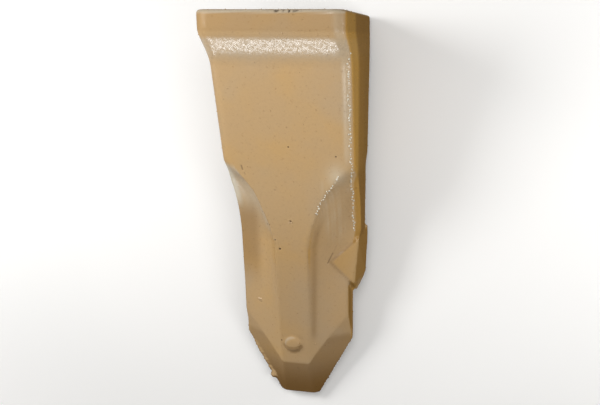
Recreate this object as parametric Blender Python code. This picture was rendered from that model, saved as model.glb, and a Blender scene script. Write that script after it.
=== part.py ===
# Rock bucket tooth for a large digging bucket: one steel casting with a tapered
# socket, a full-width panel, a centre rib between scalloped flanks and a
# faceted chisel point.
#
# Local axes of the tooth: x across, y from the point towards the socket mouth,
# z towards the front panel. "Station" is the distance from the rear face.

import math

import bmesh
import bpy
from mathutils import Matrix, Vector

MM = 0.001

# Overall sizes
TOOTH_LENGTH = 480 * MM
COLLAR_WIDTH = 160 * MM
COLLAR_HEIGHT = 203 * MM
COLLAR_LENGTH = 20 * MM
COLLAR_SHIFT = -1.7 * MM
COLLAR_SLANT = 0.031
RIM_ROUND = 3 * MM

# Body between the collar and the scallops
FRONT_LIP = 14 * MM
LEFT_LIP = 1 * MM
RIGHT_SWELL = 1 * MM
LIP_LENGTH = 38 * MM
BODY_CORNER = 14 * MM
COLLAR_CORNER = 16 * MM
SIDE_CROWN = 2 * MM
LEFT_TAPER = 6.2 * MM
RIGHT_TAPER = 0.2 * MM

# Centre rib and chisel
RIB_HALF_WIDTH = 19.5 * MM
RIB_OFFSET = 3.4 * MM
RIB_END_HALF_WIDTH = 17 * MM
RIB_END_HEIGHT = 23.5 * MM
CHISEL_LENGTH = 52 * MM
TIP_HALF_WIDTH = 25.5 * MM
TIP_HALF_THICKNESS = 4 * MM

# Scalloped flanks
SHOULDER_OVERLAP = 40 * MM
SCALLOP_LENGTH = 102 * MM
SCALLOP_SKEW = 4 * MM
SCALLOP_SETTLES = 0.30
FLANK_EDGE_HEIGHT = 18.5 * MM
NOSE_EDGE_HEIGHT = 13 * MM
NOSE_EDGE_HALF_WIDTH = 66 * MM
NOSE_HALF_WIDTH = 68 * MM
LEFT_NOSE_TRIM = 1.3 * MM
POINT_LENGTH = 79 * MM

# Socket for the adapter nose
SOCKET_DEPTH = 204 * MM
SOCKET_LAND = 42 * MM
SIDE_WALL = 20 * MM
FRONT_WALL = 23 * MM
END_WALL = 31 * MM
SOCKET_SIDE_TAPER = 11 * MM
SOCKET_CORNER = 15 * MM
SOCKET_FLOOR_ROUND = 8 * MM

# Pin bore: open on the left, a blind seat on the right
PIN_STATION = 84 * MM
PIN_BORE = 42 * MM
PIN_SEAT_DEPTH = 12 * MM
BOSS_DIAMETER = 90 * MM
BOSS_RISE = 1.3 * MM

# Feeder left on the right side
FEEDER_HALF_HEIGHT = 28 * MM
FEEDER_EDGE_HALF_WIDTH = 74 * MM
FEEDER_RISE = 1.5 * MM
STUB_START = 246 * MM
STUB_LENGTH = 92 * MM
STUB_EDGE_HALF_WIDTH = 79 * MM
STUB_EDGE_HEIGHT = 19 * MM
STUB_LEAN = 7.5 * MM
STUB_APEX = 46.5 * MM
STUB_RISE = 3 * MM
STUB_BROW = 15 * MM
STUB_HEEL = 18 * MM
STUB_FOOT_RISE = 4.5 * MM
STUB_FACE_SHARE = 0.8
STUB_FOOT_SHARE = 0.5
STUB_BACK_SHARE = 1.3

# Round test button on the rib
BUTTON_FROM_TIP = 81 * MM
BUTTON_OFFSET = -2 * MM
BUTTON_DIAMETER = 20 * MM
BUTTON_RISE = 3.2 * MM

# Shape of the curved guides, each as (share of the stretch, value from 1 to 0)
PANEL_EDGE = ((0, 1), (0.06, 0.97), (0.19, 0.79), (0.39, 0.46), (0.61, 0.26), (0.82, 0.09), (1, 0))
FLANK_DROP = ((0, 1), (0.08, 0.92), (0.24, 0.71), (0.4, 0.47), (0.52, 0.32), (0.71, 0.14), (1, 0))

# Steps of the loft
FLANK_STEPS = 9
PANEL_STEPS = 5
STATION_STEP = 12 * MM
ROUND_STEPS = 6
ARC_PULL = 0.5523

SCALLOP_START = SOCKET_DEPTH - SHOULDER_OVERLAP
SCALLOP_END = SCALLOP_START + SCALLOP_LENGTH
RIB_END = TOOTH_LENGTH - CHISEL_LENGTH
PANEL_REAR_HEIGHT = COLLAR_HEIGHT / 2 - FRONT_LIP
LEFT_HALF_WIDTH = COLLAR_WIDTH / 2 - LEFT_LIP
RIGHT_HALF_WIDTH = COLLAR_WIDTH / 2 + RIGHT_SWELL


def clear_scene():
    for item in list(bpy.data.objects):
        bpy.data.objects.remove(item, do_unlink=True)


def mix(a, b, share):
    return a + (b - a) * share


def clamp(value):
    return min(1.0, max(0.0, value))


def ease(value):
    value = clamp(value)
    return value * value * (3 - 2 * value)


def smooth_guide(knots, share):
    """Monotone curve through the knots, by cubic pieces."""
    share = min(knots[-1][0], max(knots[0][0], share))
    slopes = [(b[1] - a[1]) / (b[0] - a[0]) for a, b in zip(knots, knots[1:])]
    tangents = [slopes[0]]
    for before, after in zip(slopes, slopes[1:]):
        tangents.append(0.0 if before * after <= 0 else 2 * before * after / (before + after))
    tangents.append(slopes[-1])
    for index, (a, b) in enumerate(zip(knots, knots[1:])):
        if share <= b[0]:
            width = b[0] - a[0]
            t = (share - a[0]) / width
            rise = (2 * t**3 - 3 * t**2 + 1) * a[1] + (3 * t**2 - 2 * t**3) * b[1]
            lean = (t**3 - 2 * t**2 + t) * tangents[index] + (t**3 - t**2) * tangents[index + 1]
            return rise + lean * width
    return knots[-1][1]


def panel_height(station):
    """Height of the flat front panel and rib over the parting plane."""
    return mix(PANEL_REAR_HEIGHT, RIB_END_HEIGHT, station / RIB_END)


def scallop_share(station, side):
    """0 where the scallop starts, 1 where the rib begins; the right one lies a little further down."""
    return clamp((station - SCALLOP_START - side * SCALLOP_SKEW) / SCALLOP_LENGTH)


def lip_share(station):
    """1 on the collar, falling to 0 round its lower edge and along a concave fillet."""
    return 1 - ease(clamp((station - COLLAR_LENGTH) / LIP_LENGTH) ** 0.75)


def feeder_share(station, side):
    """1 beside the feeder on the right, fading to 0 under its stub; always 0 on the left."""
    if side < 0:
        return 0.0
    return 1 - ease((station - STUB_START) / (STUB_LENGTH / 2))


def body_half_width(station, side):
    """Half width of the side wall where it is widest; side is 1 right, -1 left."""
    rear = RIGHT_HALF_WIDTH if side > 0 else LEFT_HALF_WIDTH
    taper = RIGHT_TAPER if side > 0 else LEFT_TAPER
    rear -= taper * clamp(station / SCALLOP_START)
    if station <= SCALLOP_START:
        return rear
    at_nose = clamp((station - SCALLOP_START) / (RIB_END - SCALLOP_START))
    trim = LEFT_NOSE_TRIM if side < 0 else 0.0
    nose = mix(LEFT_HALF_WIDTH - LEFT_TAPER, NOSE_HALF_WIDTH - trim, ease(at_nose * 1.4))
    return mix(nose, rear + FEEDER_RISE, feeder_share(station, side))


def edge_half_width(station, side):
    """Half width at the edge between the side wall and the flank."""
    wall = body_half_width(station, side)
    if station <= SCALLOP_START:
        return wall
    share = scallop_share(station, side)
    plain = mix(wall, NOSE_EDGE_HALF_WIDTH, ease(share))
    beside_feeder = mix(wall, FEEDER_EDGE_HALF_WIDTH, ease(share * 4))
    return mix(plain, beside_feeder, feeder_share(station, side))


def edge_height(station, side):
    """Height of that edge over the parting plane."""
    along = clamp((station - SCALLOP_END) / (RIB_END - SCALLOP_END))
    nose = mix(FLANK_EDGE_HEIGHT, NOSE_EDGE_HEIGHT, along)
    corner = panel_height(station) - BODY_CORNER
    return mix(nose, corner, smooth_guide(FLANK_DROP, scallop_share(station, side)))


def wall_height(station, side):
    """Height up to which the side wall keeps its full width."""
    edge = edge_height(station, side)
    share = scallop_share(station, side)
    plain = mix(edge * 0.9, edge * 0.2, ease(share))
    beside_feeder = mix(edge * 0.9, min(FEEDER_HALF_HEIGHT, edge * 0.8), ease(share * 4))
    return mix(plain, beside_feeder, feeder_share(station, side))


def panel_half_width(station, side):
    full = body_half_width(min(station, SCALLOP_START), side) - BODY_CORNER
    along = clamp((station - SCALLOP_END) / (RIB_END - SCALLOP_END))
    rib = mix(RIB_HALF_WIDTH, RIB_END_HALF_WIDTH, along * along) + side * mix(RIB_OFFSET, 0, along)
    return mix(rib, full, smooth_guide(PANEL_EDGE, scallop_share(station, side)))


def cubic(start, pull_a, pull_b, end, t):
    s = 1 - t
    weights = (s**3, 3 * s * s * t, 3 * s * t * t, t**3)
    points = (start, pull_a, pull_b, end)
    return tuple(sum(w * p[axis] for w, p in zip(weights, points)) for axis in (0, 1))


def blend(pulls, others, share):
    return [tuple(mix(a, b, share) for a, b in zip(one, other)) for one, other in zip(pulls, others)]


def flank_curve(edge, panel, hollow, straight):
    """Points from the side edge to the panel: a round corner, then a scallop, then nearly a chord."""
    run = edge[0] - panel[0]
    drop = panel[1] - edge[1]
    corner = ((edge[0], edge[1] + ARC_PULL * drop), (panel[0] + ARC_PULL * run, panel[1]))
    scoop = ((edge[0] - 0.55 * run, edge[1] + 0.02 * drop), (panel[0] + 0.10 * run, panel[1] - 0.62 * drop))
    chord = ((edge[0] - 0.45 * run, edge[1] + 0.32 * drop), (panel[0] + 0.26 * run, panel[1] - 0.38 * drop))
    pulls = blend(blend(corner, scoop, hollow), chord, straight)
    return [cubic(edge, pulls[0], pulls[1], panel, step / FLANK_STEPS) for step in range(FLANK_STEPS + 1)]


def quarter_section(station, side):
    """Outline from the parting plane to the middle of the panel, on one side."""
    lip = lip_share(station)
    grow_x = lip * (COLLAR_WIDTH / 2 + side * COLLAR_SHIFT - body_half_width(station, side))
    grow_z = lip * (COLLAR_HEIGHT / 2 - panel_height(station))
    rounder = lip * (COLLAR_CORNER - BODY_CORNER)
    wall = body_half_width(station, side) + grow_x
    crown = SIDE_CROWN * (1 - lip)
    edge = (edge_half_width(station, side) + grow_x, edge_height(station, side) + grow_z - rounder)
    panel = (panel_half_width(station, side) + grow_x - rounder, panel_height(station) + grow_z)
    flat = edge[1] * wall_height(station, side) / edge_height(station, side)
    hollow = ease(scallop_share(station, side) / SCALLOP_SETTLES)
    straight = ease((station - SCALLOP_END) / (RIB_END - POINT_LENGTH / 2 - SCALLOP_END))
    outline = [(wall + crown, 0.0), (wall + crown * 0.6, flat * 0.4), (wall, flat)]
    outline += flank_curve(edge, panel, hollow, straight)
    outline += [(panel[0] * (1 - step / PANEL_STEPS), panel[1]) for step in range(1, PANEL_STEPS + 1)]
    return outline


def full_section(station, inset=0.0):
    """Closed outline of the casting at one station, anticlockwise seen from the rear."""
    right = quarter_section(station, 1)
    left = [(-x, z) for x, z in reversed(quarter_section(station, -1)[:-1])]
    front = right + left
    back = [(x, -z) for x, z in reversed(front[1:-1])]
    ring = front + back
    if inset:
        ring = [inset_point(x, z, inset) for x, z in ring]
    return ring


def inset_point(x, z, inset):
    """Pull a point of the collar's outline inwards, as the rounded rim does."""
    return x * (1 - inset / (COLLAR_WIDTH / 2)), z * (1 - inset / (COLLAR_HEIGHT / 2))


def stations():
    """Rear face to tip, closer together at the collar fillet and the scallop's start."""
    marks = [RIM_ROUND, COLLAR_LENGTH]
    marks += even_marks(COLLAR_LENGTH, COLLAR_LENGTH + LIP_LENGTH, STATION_STEP / 3)
    scoop_start = SCALLOP_START - SCALLOP_SKEW
    scoop_set = SCALLOP_START + SCALLOP_SKEW + SCALLOP_SETTLES * SCALLOP_LENGTH
    scoop_end = SCALLOP_END + SCALLOP_SKEW
    marks += even_marks(COLLAR_LENGTH + LIP_LENGTH, scoop_start, 2 * STATION_STEP)
    marks += even_marks(scoop_start, scoop_set, STATION_STEP / 3)
    marks += even_marks(scoop_set, scoop_end, STATION_STEP / 1.5)
    marks += even_marks(scoop_end, RIB_END, STATION_STEP)
    marks += even_marks(RIB_END, TOOTH_LENGTH, STATION_STEP)
    return marks


def even_marks(start, end, step):
    count = max(1, round((end - start) / step))
    return [mix(start, end, (index + 1) / count) for index in range(count)]


def slanted(x, station, z):
    """Station with the slant of the rear face and the collar's front; the collar's back edge stays square."""
    front = ease(z / COLLAR_HEIGHT + 0.5)
    at_rear = 1 - ease(station / COLLAR_LENGTH)
    fade = 1 - ease((station - COLLAR_LENGTH) / (SCALLOP_START - COLLAR_LENGTH))
    return station + COLLAR_SLANT * x * fade * mix(front, 1, at_rear)


def ring_of_vertices(mesh, points, station):
    return [mesh.verts.new((x, -slanted(x, station, z), z)) for x, z in points]


def bridge(mesh, rings):
    """Quads between rings of equal count, closed by a face at each end."""
    for first, second in zip(rings, rings[1:]):
        count = len(first)
        for index in range(count):
            after = (index + 1) % count
            mesh.faces.new((first[index], first[after], second[after], second[index]))
    mesh.faces.new(list(reversed(rings[0])))
    mesh.faces.new(rings[-1])
    bmesh.ops.recalc_face_normals(mesh, faces=mesh.faces)


def cut_flat(mesh, point, normal):
    """Slice off what lies beyond a plane and close the cut with a flat face."""
    everything = mesh.verts[:] + mesh.edges[:] + mesh.faces[:]
    cut = bmesh.ops.bisect_plane(mesh, geom=everything, dist=1e-6, plane_co=point, plane_no=normal,
                                 clear_outer=True)
    rim = [item for item in cut["geom_cut"] if isinstance(item, bmesh.types.BMEdge)]
    bmesh.ops.holes_fill(mesh, edges=rim, sides=0)


def plane_through(a, b, c, outwards):
    normal = (b - a).cross(c - a).normalized()
    return a, (normal if normal.dot(outwards) > 0 else -normal)


def place(x, station, z):
    return Vector((x, -station, z))


def cut_point(mesh):
    """The four side facets and the two chisel faces that make the point."""
    facet_start = TOOTH_LENGTH - POINT_LENGTH
    for face in (1, -1):
        for side in (1, -1):
            shoulder = place(side * NOSE_HALF_WIDTH, facet_start, 0)
            tip = place(side * TIP_HALF_WIDTH, TOOTH_LENGTH, 0)
            rib = place(side * RIB_END_HALF_WIDTH, RIB_END, face * RIB_END_HEIGHT)
            cut_flat(mesh, *plane_through(shoulder, tip, rib, Vector((side, -0.4, face))))
        rib_left = place(-RIB_END_HALF_WIDTH, RIB_END, face * RIB_END_HEIGHT)
        rib_right = place(RIB_END_HALF_WIDTH, RIB_END, face * RIB_END_HEIGHT)
        edge = place(0, TOOTH_LENGTH, face * TIP_HALF_THICKNESS)
        cut_flat(mesh, *plane_through(rib_left, rib_right, edge, Vector((0, -0.4, face))))


def to_object(mesh, name, material, parent):
    bmesh.ops.recalc_face_normals(mesh, faces=mesh.faces)
    data = bpy.data.meshes.new(name)
    mesh.to_mesh(data)
    mesh.free()
    item = bpy.data.objects.new(name, data)
    bpy.context.collection.objects.link(item)
    item.parent = parent
    if material:
        data.materials.append(material)
    return item


def as_tool(item):
    item.hide_render = True
    item.display_type = "WIRE"
    return item


def casting_outside(material, parent):
    mesh = bmesh.new()
    rings = [ring_of_vertices(mesh, full_section(0, RIM_ROUND), 0)]
    rings += [ring_of_vertices(mesh, full_section(station), station) for station in stations()]
    bridge(mesh, rings)
    bmesh.ops.triangulate(mesh, faces=mesh.faces)
    cut_point(mesh)
    return to_object(mesh, "bucket_tooth", material, parent)


def rounded_rectangle(half_width, half_height, corner):
    points = []
    for quadrant, (sx, sz) in enumerate(((1, 1), (-1, 1), (-1, -1), (1, -1))):
        for step in range(ROUND_STEPS + 1):
            angle = math.pi / 2 * (quadrant + step / ROUND_STEPS)
            x = sx * (half_width - corner) + corner * math.cos(angle)
            z = sz * (half_height - corner) + corner * math.sin(angle)
            points.append((x, z))
    return points


def socket_half_width(station):
    mouth = COLLAR_WIDTH / 2 - SIDE_WALL
    return mouth - SOCKET_SIDE_TAPER * min(1.0, station / (SOCKET_DEPTH - SOCKET_LAND))


def socket_half_height(station):
    """Steep wedge from the mouth to the land, which is almost parallel."""
    mouth = COLLAR_HEIGHT / 2 - FRONT_WALL
    floor = panel_height(SOCKET_DEPTH) - END_WALL
    shoulder = SOCKET_DEPTH - SOCKET_LAND
    land = floor + SOCKET_LAND * 0.05
    if station < shoulder:
        return mix(mouth, land, station / shoulder)
    return mix(land, floor, (station - shoulder) / SOCKET_LAND)


def socket_tool(parent):
    mesh = bmesh.new()
    shoulder = SOCKET_DEPTH - SOCKET_LAND
    rings = []
    for station in (-10 * MM, shoulder, SOCKET_DEPTH - SOCKET_FLOOR_ROUND):
        outline = rounded_rectangle(socket_half_width(station), socket_half_height(station), SOCKET_CORNER)
        rings.append(ring_of_vertices(mesh, outline, station))
    for step in (1, 2, 3):
        angle = math.pi / 2 * step / 3
        inset = SOCKET_FLOOR_ROUND * (1 - math.cos(angle))
        station = SOCKET_DEPTH - SOCKET_FLOOR_ROUND * (1 - math.sin(angle))
        outline = rounded_rectangle(socket_half_width(station) - inset, socket_half_height(station) - inset,
                                    SOCKET_CORNER - inset)
        rings.append(ring_of_vertices(mesh, outline, station))
    bridge(mesh, rings)
    return as_tool(to_object(mesh, "socket_tool", None, parent))


def round_bar(name, radius, end_radius, start, end, bevel, parent, sides=32):
    """Round bar from one point to another, its far end narrowed over the bevel."""
    axis = end - start
    turn = axis.to_track_quat("Z", "Y").to_matrix()
    mesh = bmesh.new()
    rings = []
    for along, size in ((0, radius), (axis.length - bevel, radius), (axis.length, end_radius)):
        angles = [2 * math.pi * (index + 0.5) / sides for index in range(sides)]
        spokes = [Vector((size * math.cos(angle), size * math.sin(angle), along)) for angle in angles]
        rings.append([mesh.verts.new(start + turn @ spoke) for spoke in spokes])
    bridge(mesh, rings)
    return as_tool(to_object(mesh, name, None, parent))


def pin_boss(parent):
    """Low round boss on the left side, where the pin goes in."""
    outer = body_half_width(PIN_STATION, -1) + SIDE_CROWN + BOSS_RISE
    start = place(SIDE_WALL / 2 - outer, PIN_STATION, 0)
    end = place(-outer, PIN_STATION, 0)
    radius = BOSS_DIAMETER / 2
    return round_bar("pin_boss", radius, radius - 2 * BOSS_RISE, start, end, SIDE_WALL / 3, parent, 48)


def pin_tool(parent):
    left = -body_half_width(PIN_STATION, -1) - SIDE_CROWN - 2 * BOSS_RISE
    right = socket_half_width(PIN_STATION) + PIN_SEAT_DEPTH
    start = place(left, PIN_STATION, 0)
    end = place(right, PIN_STATION, 0)
    return round_bar("pin_tool", PIN_BORE / 2, PIN_BORE / 2 - 2 * MM, start, end, 2 * MM, parent, 40)


def button(parent):
    station = TOOTH_LENGTH - BUTTON_FROM_TIP
    slope = (PANEL_REAR_HEIGHT - RIB_END_HEIGHT) / RIB_END
    normal = Vector((0, -slope, 1)).normalized()
    seat = place(BUTTON_OFFSET, station, panel_height(station))
    start = seat - normal * 6 * MM
    end = seat + normal * BUTTON_RISE
    return round_bar("button", BUTTON_DIAMETER / 2, BUTTON_DIAMETER / 2 - 1 * MM, start, end, 1 * MM, parent)


def feeder_stub(parent):
    """Stub of the feeder on the right side: flat front and back pads and a slanted, sawn outer face."""
    end = STUB_START + STUB_LENGTH
    heel = end - STUB_HEEL
    brow = STUB_START + STUB_BROW
    middle = STUB_START + STUB_LENGTH / 2
    edge = STUB_EDGE_HALF_WIDTH
    crown = edge + STUB_LEAN
    height = STUB_EDGE_HEIGHT
    face = -height * STUB_FACE_SHARE
    foot = -height * STUB_FOOT_SHARE
    back = -height * STUB_BACK_SHARE
    points = [place(edge, brow, height),
              place(edge - STUB_HEEL / 3, heel, height * STUB_FACE_SHARE),
              place(STUB_APEX, middle, height + STUB_RISE),
              place(crown, STUB_START + STUB_BROW / 2, face),
              place(crown - STUB_LEAN / 3, heel - STUB_HEEL / 2, face),
              place(edge + STUB_FOOT_RISE / 2, heel, face),
              place(NOSE_HALF_WIDTH + STUB_FOOT_RISE, end, foot),
              place(NOSE_HALF_WIDTH + STUB_LEAN, STUB_START, foot),
              place(edge, brow, back),
              place(edge - STUB_HEEL / 3, heel, back),
              place(STUB_APEX, middle, -height - STUB_RISE),
              place(STUB_APEX, middle, 0)]
    mesh = bmesh.new()
    corners = [mesh.verts.new(point) for point in points]
    bmesh.ops.convex_hull(mesh, input=corners)
    bmesh.ops.delete(mesh, geom=[v for v in mesh.verts if not v.link_faces], context="VERTS")
    return as_tool(to_object(mesh, "feeder_stub", None, parent))


def combine(item, tool, operation):
    change = item.modifiers.new(tool.name, "BOOLEAN")
    change.operation = operation
    change.solver = "EXACT"
    change.object = tool


def ochre_paint():
    material = bpy.data.materials.new("ochre_paint")
    material.use_nodes = True
    shader = material.node_tree.nodes["Principled BSDF"]
    shader.inputs["Base Color"].default_value = (0.46, 0.30, 0.13, 1)
    shader.inputs["Roughness"].default_value = 0.42
    shader.inputs["Metallic"].default_value = 0.0
    return material


def resting_frame():
    """Empty that lies the tooth on its back, on the collar's edge and the end of the rear rib."""
    frame = bpy.data.objects.new("resting_frame", None)
    bpy.context.collection.objects.link(frame)
    drop = COLLAR_HEIGHT / 2 - RIB_END_HEIGHT
    frame.rotation_euler = (math.atan2(drop, RIB_END - COLLAR_LENGTH), 0, 0)
    return frame


def set_down(frame, item):
    """Move the frame so that the tooth stands on z = 0 with its box centred on the origin."""
    bpy.context.view_layer.update()
    corners = item.evaluated_get(bpy.context.evaluated_depsgraph_get()).to_mesh()
    turn = Matrix.Rotation(frame.rotation_euler.x, 4, "X")
    points = [turn @ vertex.co for vertex in corners.vertices]
    low = [min(point[axis] for point in points) for axis in range(3)]
    high = [max(point[axis] for point in points) for axis in range(3)]
    frame.location = (-(low[0] + high[0]) / 2, -(low[1] + high[1]) / 2, -low[2])
    bpy.context.view_layer.update()


def build():
    clear_scene()
    frame = resting_frame()
    tooth = casting_outside(ochre_paint(), frame)
    for added in (feeder_stub(frame), pin_boss(frame), button(frame)):
        combine(tooth, added, "UNION")
    for removed in (socket_tool(frame), pin_tool(frame)):
        combine(tooth, removed, "DIFFERENCE")
    set_down(frame, tooth)


build()
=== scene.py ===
import math

import bmesh
import bpy
import numpy as np
from mathutils import Matrix, Vector


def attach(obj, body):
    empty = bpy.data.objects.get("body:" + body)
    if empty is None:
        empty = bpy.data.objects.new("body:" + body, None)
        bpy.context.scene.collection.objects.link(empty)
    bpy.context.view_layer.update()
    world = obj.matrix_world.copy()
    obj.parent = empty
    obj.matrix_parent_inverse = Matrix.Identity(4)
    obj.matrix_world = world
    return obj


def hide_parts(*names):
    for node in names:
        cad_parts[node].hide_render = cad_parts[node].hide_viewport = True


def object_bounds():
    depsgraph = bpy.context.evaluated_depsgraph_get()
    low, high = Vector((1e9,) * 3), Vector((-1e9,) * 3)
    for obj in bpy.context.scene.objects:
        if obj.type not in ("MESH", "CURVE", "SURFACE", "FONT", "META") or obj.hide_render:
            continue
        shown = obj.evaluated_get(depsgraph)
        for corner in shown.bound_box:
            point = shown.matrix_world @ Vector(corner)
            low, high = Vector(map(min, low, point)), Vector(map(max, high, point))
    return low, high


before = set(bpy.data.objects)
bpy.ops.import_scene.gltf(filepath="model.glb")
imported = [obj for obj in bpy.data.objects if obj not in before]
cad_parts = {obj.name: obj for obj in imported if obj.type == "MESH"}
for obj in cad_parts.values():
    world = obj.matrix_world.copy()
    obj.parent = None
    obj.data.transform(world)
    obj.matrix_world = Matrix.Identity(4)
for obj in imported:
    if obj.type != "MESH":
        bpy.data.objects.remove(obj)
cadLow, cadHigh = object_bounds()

# Rock bucket tooth, lying on its back. Lengths in the dictionaries are millimetres, angles are degrees.
# Tooth axes: x across, y from the point to the socket mouth, z to the front panel.
# A station is the distance from the rear face.

mm = 0.001


# Small helpers for values along the tooth

def mix(a, b, share):
    return a + (b - a) * share


def clamp(value, low=0.0, high=1.0):
    return min(high, max(low, value))


def ease(value):
    value = clamp(value)
    return value * value * (3 - 2 * value)


def guide(knots, share):  # smooth monotone curve through (share, value) pairs
    share = clamp(share, knots[0][0], knots[-1][0])
    slopes = [(b[1] - a[1]) / (b[0] - a[0]) for a, b in zip(knots, knots[1:])]
    tangents = [slopes[0]]
    for before, after in zip(slopes, slopes[1:]):
        tangents.append(0.0 if before * after <= 0 else 2 * before * after / (before + after))
    tangents.append(slopes[-1])
    for index, (a, b) in enumerate(zip(knots, knots[1:])):
        if share <= b[0]:
            width = b[0] - a[0]
            t = (share - a[0]) / width
            rise = (2 * t**3 - 3 * t**2 + 1) * a[1] + (3 * t**2 - 2 * t**3) * b[1]
            lean = (t**3 - 2 * t**2 + t) * tangents[index] + (t**3 - t**2) * tangents[index + 1]
            return rise + lean * width
    return knots[-1][1]


def place(x, station, z):
    return Vector((x, -station, z))


# Node helpers, for materials and geometry trees alike

class Wire:  # an output socket with arithmetic on it
    def __init__(self, graph, socket):
        self.graph = graph
        self.socket = socket

    def maths(self, operation, first, second):
        return self.graph.node("ShaderNodeMath", {"operation": operation}, {0: first, 1: second})

    def __add__(self, other):
        return self.maths("ADD", self, other)

    def __sub__(self, other):
        return self.maths("SUBTRACT", self, other)

    def __rsub__(self, other):
        return self.maths("SUBTRACT", other, self)

    def __mul__(self, other):
        return self.maths("MULTIPLY", self, other)

    def __rtruediv__(self, other):
        return self.maths("DIVIDE", other, self)

    __radd__ = __add__
    __rmul__ = __mul__


class Graph:
    def __init__(self, tree):
        self.tree = tree

    def node(self, kind, settings=None, inputs=None, output=0):
        made = self.tree.nodes.new(kind)
        for name, value in (settings or {}).items():
            setattr(made, name, value)
        self.fill(made, inputs or {})
        return Wire(self, made.outputs[output]) if made.outputs else None

    def fill(self, made, inputs):  # links wires and sets plain values
        for name, value in inputs.items():
            if isinstance(value, Wire):
                self.tree.links.new(value.socket, made.inputs[name])
            else:
                made.inputs[name].default_value = value

    def noise(self, where, scale, detail, rough=0.5):
        values = {"Vector": where, "Scale": scale, "Detail": detail, "Roughness": rough}
        return self.node("ShaderNodeTexNoise", {}, values)

    def band(self, value, low, high):  # 0 below low, 1 above high, smooth between
        values = {"Value": value, "From Min": low, "From Max": high}
        return self.node("ShaderNodeMapRange", {"interpolation_type": "SMOOTHSTEP"}, values)

    def blendColour(self, share, first, second):
        return self.node("ShaderNodeMix", {"data_type": "RGBA"}, {0: share, 6: first, 7: second}, output=2)

    def attribute(self, name):
        return self.node("ShaderNodeAttribute", {"attribute_name": name}, output="Fac")


def newMaterial(name):
    material = bpy.data.materials.new(name)
    material.use_nodes = True
    return material, Graph(material.node_tree), material.node_tree.nodes["Principled BSDF"]


# The casting's shape

tooth = {
    "length": 480, "collarWidth": 160, "collarHeight": 203, "collarFlat": 20, "lipLength": 38,
    "collarShift": -1.7, "collarSlant": 0.031, "collarCorner": 16, "rimRound": 3.0, "lipEase": 0.75,
    "frontLip": 14, "leftLip": 1, "rightSwell": 1, "leftTaper": 6.2, "rightTaper": 0.2,
    "bodyCorner": 14, "sideCrown": 2.0, "wallTop": 0.9, "noseWallTop": 0.2, "cornerStart": 0.98,
    "ribHalfWidth": 19.5, "ribOffset": 3.4, "ribEndHalfWidth": 17, "ribEndHeight": 23.5,
    "chiselLength": 52, "tipHalfWidth": 25.5, "tipHalfThickness": 4,
    "scallopStart": 164, "scallopLength": 102, "scallopSkew": 4, "scallopSettles": 0.30,
    "flankEdgeHeight": 18.5, "noseEdgeHeight": 13, "noseEdgeHalfWidth": 66, "noseHalfWidth": 68,
    "leftNoseTrim": 1.3, "noseHurry": 1.4, "pointLength": 79,
    "panelEdge": ((0, 1), (0.06, 0.97), (0.19, 0.79), (0.39, 0.46), (0.61, 0.26), (0.82, 0.09), (1, 0)),
    "flankDrop": ((0, 1), (0.08, 0.92), (0.24, 0.71), (0.4, 0.47), (0.52, 0.32), (0.71, 0.14), (1, 0)),
    "arcPull": 0.5523, "scoopPulls": (0.55, 0.02, 0.10, 0.62), "chordPulls": (0.45, 0.32, 0.26, 0.38),
    "feederHalfHeight": 28, "feederEdge": 74, "feederRise": 1.5, "feederRamp": 60, "feederHurry": 4,
    "feederWallTop": 0.8,
    "stationStep": 2.4, "wallSteps": 10, "flankSteps": 26, "panelSteps": 9, "rimSteps": 4,
}
tooth["scallopEnd"] = tooth["scallopStart"] + tooth["scallopLength"]
tooth["ribEnd"] = tooth["length"] - tooth["chiselLength"]
tooth["panelRear"] = tooth["collarHeight"] / 2 - tooth["frontLip"]

stub = {"start": 246, "length": 92, "edge": 79, "edgeHeight": 19, "lean": 7.5, "apex": 46.5, "rise": 4,
        "brow": 15, "heel": 18, "footRise": 4.5, "faceShare": 0.8, "footShare": 0.5, "backShare": 1.3}

socketForm = {"depth": 204, "land": 42, "sideWall": 20, "frontWall": 23, "endWall": 31, "sideTaper": 11,
              "corner": 15, "cornerSteps": 8, "floorRound": 8, "floorSteps": 4, "landTaper": 0.05,
              "overrun": 10}

pin = {"station": 84, "bore": 42, "seatDepth": 12, "seatChamfer": 2, "cutMargin": 6,
       "boss": 90, "bossSides": 96, "rise": 1.3}

# The lift makes up for what the remesh takes off the button
button = {"fromTip": 81, "offset": -2, "diameter": 19, "rise": 3.2, "root": 6, "chamfer": 1,
          "lift": 0.6, "dome": 1.3, "shoulder": (-1.2, 0.2), "margin": 3}
button["station"] = tooth["length"] - button["fromTip"]


def panelHeight(station):
    return mix(tooth["panelRear"], tooth["ribEndHeight"], station / tooth["ribEnd"])


def scallopShare(station, side):
    return clamp((station - tooth["scallopStart"] - side * tooth["scallopSkew"]) / tooth["scallopLength"])


def lipShare(station):
    return 1 - ease(clamp((station - tooth["collarFlat"]) / tooth["lipLength"]) ** tooth["lipEase"])


def feederShare(station, side):
    return 0.0 if side < 0 else 1 - ease((station - stub["start"]) / (stub["length"] / 2))


def wallHalfWidth(station, side):
    half = tooth["collarWidth"] / 2
    rear = half + tooth["rightSwell"] if side > 0 else half - tooth["leftLip"]
    taper = tooth["rightTaper"] if side > 0 else tooth["leftTaper"]
    rear -= taper * clamp(station / tooth["scallopStart"])
    if station <= tooth["scallopStart"]:
        return rear
    atNose = clamp((station - tooth["scallopStart"]) / (tooth["ribEnd"] - tooth["scallopStart"]))
    trim = tooth["leftNoseTrim"] if side < 0 else 0.0
    plain = half - tooth["leftLip"] - tooth["leftTaper"]
    nose = mix(plain, tooth["noseHalfWidth"] - trim, ease(atNose * tooth["noseHurry"]))
    swell = tooth["feederRise"] * ease((station - tooth["scallopStart"]) / tooth["feederRamp"])
    return mix(nose, rear + swell, feederShare(station, side))


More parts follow.
